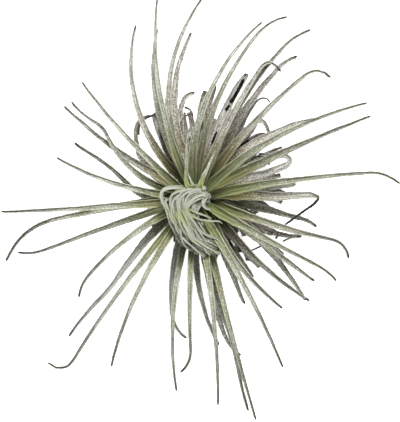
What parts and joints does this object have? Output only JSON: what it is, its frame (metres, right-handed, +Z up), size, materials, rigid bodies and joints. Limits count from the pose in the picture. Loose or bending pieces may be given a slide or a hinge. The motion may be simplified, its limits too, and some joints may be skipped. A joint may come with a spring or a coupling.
{
  "type": "air plant",
  "caption": "Free-standing rosette air plant with long, narrow, arching leaves, older hooked leaves below and a leaning silvery heart, on a short flat-footed stem.",
  "frame": {"origin": "middle of the stem's flat foot, on the surface that the plant rests on", "axes": "+Z up, away from the surface; +X and +Y lie in the surface, and the stem leans a little towards -X and -Y"},
  "size_m": [0.1598, 0.1702, 0.0502],
  "materials": {
    "inner_leaf": "matt, fresh green at the base and sage grey-green outwards, under fine silvery scales",
    "middle_leaf": "matt grey-green under a coat of silvery scales",
    "outer_leaf": "dry, matt taupe and grey-brown, fuzzy with whitish scurf",
    "heart": "soft pale silver-green with a slight sheen",
    "stem": "dry brown and fibrous"
  },
  "bodies": {
    "root": {"stem": "stem", "heart": "heart", "inner_leaf_01": "inner_leaf", "inner_leaf_02": "inner_leaf", "inner_leaf_03": "inner_leaf", "inner_leaf_04": "inner_leaf", "inner_leaf_05": "inner_leaf", "inner_leaf_06": "inner_leaf", "inner_leaf_07": "inner_leaf", "inner_leaf_08": "inner_leaf", "inner_leaf_09": "inner_leaf", "inner_leaf_10": "inner_leaf", "inner_leaf_11": "inner_leaf", "inner_leaf_12": "inner_leaf", "inner_leaf_13": "inner_leaf", "inner_leaf_14": "inner_leaf", "inner_leaf_15": "inner_leaf", "inner_leaf_16": "inner_leaf", "inner_leaf_17": "inner_leaf", "inner_leaf_18": "inner_leaf", "inner_leaf_19": "inner_leaf", "middle_leaf_01": "middle_leaf", "middle_leaf_02": "middle_leaf", "middle_leaf_03": "middle_leaf", "middle_leaf_04": "middle_leaf", "middle_leaf_05": "middle_leaf", "middle_leaf_06": "middle_leaf", "middle_leaf_07": "middle_leaf", "middle_leaf_08": "middle_leaf", "middle_leaf_09": "middle_leaf", "middle_leaf_10": "middle_leaf", "middle_leaf_11": "middle_leaf", "middle_leaf_12": "middle_leaf", "middle_leaf_13": "middle_leaf", "middle_leaf_14": "middle_leaf", "middle_leaf_15": "middle_leaf", "middle_leaf_16": "middle_leaf", "middle_leaf_17": "middle_leaf", "outer_leaf_01": "outer_leaf", "outer_leaf_02": "outer_leaf", "outer_leaf_03": "outer_leaf", "outer_leaf_04": "outer_leaf", "outer_leaf_05": "outer_leaf", "outer_leaf_06": "outer_leaf", "outer_leaf_07": "outer_leaf", "outer_leaf_08": "outer_leaf", "outer_leaf_09": "outer_leaf", "outer_leaf_10": "outer_leaf", "outer_leaf_11": "outer_leaf", "outer_leaf_12": "outer_leaf", "outer_leaf_13": "outer_leaf", "outer_leaf_14": "outer_leaf", "outer_leaf_15": "outer_leaf", "outer_leaf_16": "outer_leaf", "outer_leaf_17": "outer_leaf", "outer_leaf_18": "outer_leaf", "outer_leaf_19": "outer_leaf", "outer_leaf_20": "outer_leaf", "outer_leaf_21": "outer_leaf", "outer_leaf_22": "outer_leaf"}
  },
  "joints": []
}
